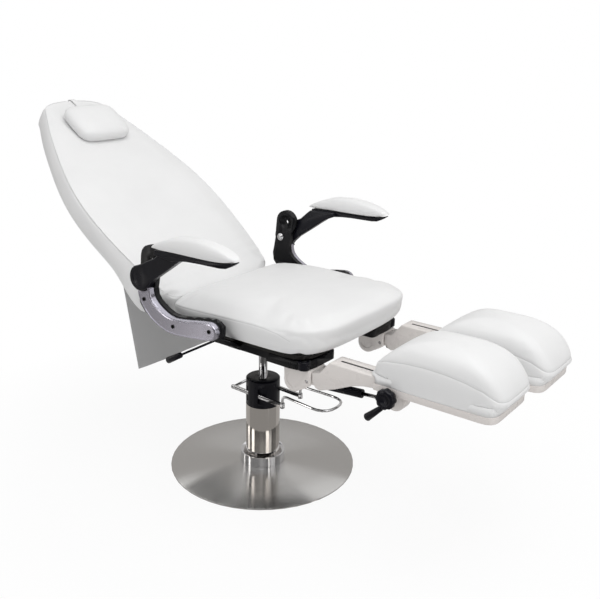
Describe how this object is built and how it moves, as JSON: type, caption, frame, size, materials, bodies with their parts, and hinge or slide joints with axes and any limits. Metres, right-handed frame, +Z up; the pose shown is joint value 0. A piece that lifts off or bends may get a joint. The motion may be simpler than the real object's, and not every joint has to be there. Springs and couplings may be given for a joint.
{
  "type": "pedicure spa chair",
  "caption": "Reclining treatment chair on a pump column with a round base, flip-up armrests, head pillow and separate swinging, sliding leg rests.",
  "frame": {"origin": "on the floor, under the middle of the column", "axes": "+Z up, +Y towards the back of the chair, -Y towards the leg rests; the sitter faces -Y and the sitter's right is -X"},
  "size_m": [0.7856, 1.8436, 1.1104],
  "materials": {
    "white_vinyl": "satin leatherette with a fine grain",
    "white_enamel": "glossy enamel on castings and sheet",
    "black_plastic": "satin moulded plastic",
    "black_steel": "black powder coat",
    "silver_aluminium": "satin die-cast cover",
    "chrome": "polished",
    "brushed_stainless": "brushed in rings",
    "raw_steel": "bare",
    "plywood": "painted black",
    "foam_vinyl": "satin leatherette over foam"
  },
  "bodies": {
    "stand": {"base_weight_plate": "raw_steel", "base_cover": "brushed_stainless", "base_collar": "chrome", "column_tube": "brushed_stainless", "pump_barrel": "raw_steel", "pump_housing": "black_plastic", "pump_pin_near": "chrome", "pump_pin_far": "chrome"},
    "pedal": {"pedal_fork": "chrome", "pedal_loop": "chrome"},
    "piston": {"piston_rod": "chrome"},
    "seat": {"seat_hub": "black_steel", "seat_frame": "black_steel", "seat_cushion": "foam_vinyl", "seat_board": "plywood", "leg_bolt_near": "chrome", "leg_bolt_far": "chrome", "side_plate_near": "black_steel", "side_plate_far": "black_steel", "side_cover_near": "silver_aluminium", "side_cover_far": "silver_aluminium", "armrest_screw_near": "chrome", "armrest_screw_far": "chrome", "back_pin_near": "chrome", "back_pin_far": "chrome", "spring_hanger": "black_steel"},
    "recline_handle": {"recline_lever": "black_plastic"},
    "back": {"back_cushion": "foam_vinyl", "back_board": "white_vinyl", "back_hinge_near": "black_steel", "back_hinge_far": "black_steel", "back_clevis": "black_steel", "pillow_strap": "white_vinyl"},
    "pillow": {"head_pillow": "foam_vinyl"},
    "flap": {"rear_flap": "white_vinyl"},
    "back_spring_outer": {"back_spring_barrel": "black_plastic"},
    "back_spring_inner": {"back_spring_rod": "chrome"},
    "armrest_near": {"armrest_carrier_near": "black_plastic", "armrest_pad_near": "foam_vinyl"},
    "leg_mount_near": {"leg_knuckle_near": "white_enamel", "leg_hinge_pin_near": "chrome"},
    "leg_near": {"leg_arm_near": "white_enamel"},
    "leg_rest_near": {"leg_tray_near": "white_enamel", "leg_pad_near": "foam_vinyl"},
    "leg_spring_inner_near": {"leg_spring_rod_near": "chrome"},
    "leg_spring_outer_near": {"leg_spring_barrel_near": "black_plastic"},
    "leg_clamp_near": {"leg_knob_near": "black_plastic"},
    "leg_release_near": {"leg_lever_near": "black_plastic"},
    "armrest_far": {"armrest_carrier_far": "black_plastic", "armrest_pad_far": "foam_vinyl"},
    "leg_mount_far": {"leg_knuckle_far": "white_enamel", "leg_hinge_pin_far": "chrome"},
    "leg_far": {"leg_arm_far": "white_enamel"},
    "leg_rest_far": {"leg_tray_far": "white_enamel", "leg_pad_far": "foam_vinyl"},
    "leg_spring_inner_far": {"leg_spring_rod_far": "chrome"},
    "leg_spring_outer_far": {"leg_spring_barrel_far": "black_plastic"},
    "leg_clamp_far": {"leg_knob_far": "black_plastic"},
    "leg_release_far": {"leg_lever_far": "black_plastic"}
  },
  "joints": [
    {"name": "pump_pedal", "type": "hinge", "parent": "stand", "child": "pedal", "pos_m": [0, -0.01, 0.2525], "axis": [1, 0, 0], "range_deg": [0, 18], "stiffness_Nm_per_rad": 12, "springref_deg": -17.19},
    {"name": "seat_lift", "type": "slide", "parent": "stand", "child": "piston", "axis": [0, 0, 1], "range_m": [-0.05, 0.12]},
    {"name": "seat_swivel", "type": "hinge", "parent": "piston", "child": "seat", "pos_m": [0, 0, 0.44], "axis": [0, 0, 1], "continuous": true},
    {"name": "recline_release", "type": "hinge", "parent": "seat", "child": "recline_handle", "pos_m": [-0.2405, -0.03, 0.507], "axis": [1, 0, 0], "range_deg": [0, 14], "stiffness_Nm_per_rad": 3, "springref_deg": -14.32},
    {"name": "back_recline", "type": "hinge", "parent": "seat", "child": "back", "pos_m": [0, 0.19, 0.55], "axis": [1, 0, 0], "range_deg": [-30, 35]},
    {"name": "pillow_slide", "type": "slide", "parent": "back", "child": "pillow", "axis": [0, -0.809, -0.5878], "range_m": [0, 0.1]},
    {"name": "flap_hang", "type": "hinge", "parent": "back", "child": "flap", "pos_m": [0, 0.37, 0.612], "axis": [1, 0, 0], "range_deg": [-35, 35]},
    {"name": "armrest_fold_near", "type": "hinge", "parent": "seat", "child": "armrest_near", "pos_m": [-0.3203, 0.174, 0.675], "axis": [-1, 0, 0], "range_deg": [0, 95]},
    {"name": "leg_swing_near", "type": "hinge", "parent": "seat", "child": "leg_mount_near", "pos_m": [-0.187, -0.29, 0.487], "axis": [0, 0, -1], "range_deg": [0, 40]},
    {"name": "leg_tilt_near", "type": "hinge", "parent": "leg_mount_near", "child": "leg_near", "pos_m": [-0.187, -0.335, 0.455], "axis": [1, 0, 0], "range_deg": [0, 30]},
    {"name": "leg_extend_near", "type": "slide", "parent": "leg_near", "child": "leg_rest_near", "axis": [0, -1, 0], "range_m": [-0.06, 0.07]},
    {"name": "leg_spring_swing_near", "type": "hinge", "parent": "leg_near", "child": "leg_spring_inner_near", "pos_m": [-0.187, -0.578, 0.46], "axis": [1, 0, 0], "range_deg": [-6, 6]},
    {"name": "leg_spring_stroke_near", "type": "slide", "parent": "leg_spring_inner_near", "child": "leg_spring_outer_near", "axis": [0, 0.9968, -0.0795], "range_m": [-0.02, 0.02]},
    {"name": "leg_clamp_turn_near", "type": "hinge", "parent": "leg_near", "child": "leg_clamp_near", "pos_m": [-0.237, -0.592, 0.4868], "axis": [-1, 0, 0], "range_deg": [0, 270]},
    {"name": "leg_release_near", "type": "hinge", "parent": "leg_near", "child": "leg_release_near", "pos_m": [-0.209, -0.585, 0.463], "axis": [1, 0, 0], "range_deg": [0, 20], "stiffness_Nm_per_rad": 1.5, "springref_deg": -14.32},
    {"name": "armrest_fold_far", "type": "hinge", "parent": "seat", "child": "armrest_far", "pos_m": [0.3203, 0.174, 0.675], "axis": [-1, 0, 0], "range_deg": [0, 95]},
    {"name": "leg_swing_far", "type": "hinge", "parent": "seat", "child": "leg_mount_far", "pos_m": [0.187, -0.29, 0.487], "axis": [0, 0, 1], "range_deg": [0, 40]},
    {"name": "leg_tilt_far", "type": "hinge", "parent": "leg_mount_far", "child": "leg_far", "pos_m": [0.187, -0.335, 0.455], "axis": [1, 0, 0], "range_deg": [0, 30]},
    {"name": "leg_extend_far", "type": "slide", "parent": "leg_far", "child": "leg_rest_far", "axis": [0, -1, 0], "range_m": [-0.0787, 0.0513]},
    {"name": "leg_spring_swing_far", "type": "hinge", "parent": "leg_far", "child": "leg_spring_inner_far", "pos_m": [0.187, -0.578, 0.46], "axis": [1, 0, 0], "range_deg": [-6, 6]},
    {"name": "leg_spring_stroke_far", "type": "slide", "parent": "leg_spring_inner_far", "child": "leg_spring_outer_far", "axis": [0, 0.9968, -0.0795], "range_m": [-0.02, 0.02]},
    {"name": "leg_clamp_turn_far", "type": "hinge", "parent": "leg_far", "child": "leg_clamp_far", "pos_m": [0.237, -0.592, 0.4868], "axis": [1, 0, 0], "range_deg": [0, 270]},
    {"name": "leg_release_far", "type": "hinge", "parent": "leg_far", "child": "leg_release_far", "pos_m": [0.209, -0.585, 0.463], "axis": [1, 0, 0], "range_deg": [0, 20], "stiffness_Nm_per_rad": 1.5, "springref_deg": -14.32},
    {"name": "back_spring_swing", "type": "hinge", "parent": "seat", "child": "back_spring_outer", "pos_m": [0.085, -0.1275, 0.43], "axis": [1, 0, 0], "range_deg": [-5, 5]},
    {"name": "back_spring_stroke", "type": "slide", "parent": "back_spring_outer", "child": "back_spring_inner", "axis": [0, 0.9731, 0.2303], "range_m": [-0.05, 0.05]}
  ],
  "couplings": [
    {"joint": "flap_hang", "follows": "back_recline", "ratio": -1},
    {"joint": "leg_spring_swing_near", "follows": "leg_tilt_near", "ratio": -0.11253},
    {"joint": "leg_spring_stroke_near", "follows": "leg_tilt_near", "m_per_rad": -0.0203},
    {"joint": "leg_spring_swing_far", "follows": "leg_tilt_far", "ratio": -0.11253},
    {"joint": "leg_spring_stroke_far", "follows": "leg_tilt_far", "m_per_rad": -0.0203},
    {"joint": "back_spring_swing", "follows": "back_recline", "ratio": -0.03543},
    {"joint": "back_spring_stroke", "follows": "back_recline", "m_per_rad": 0.04178}
  ]
}
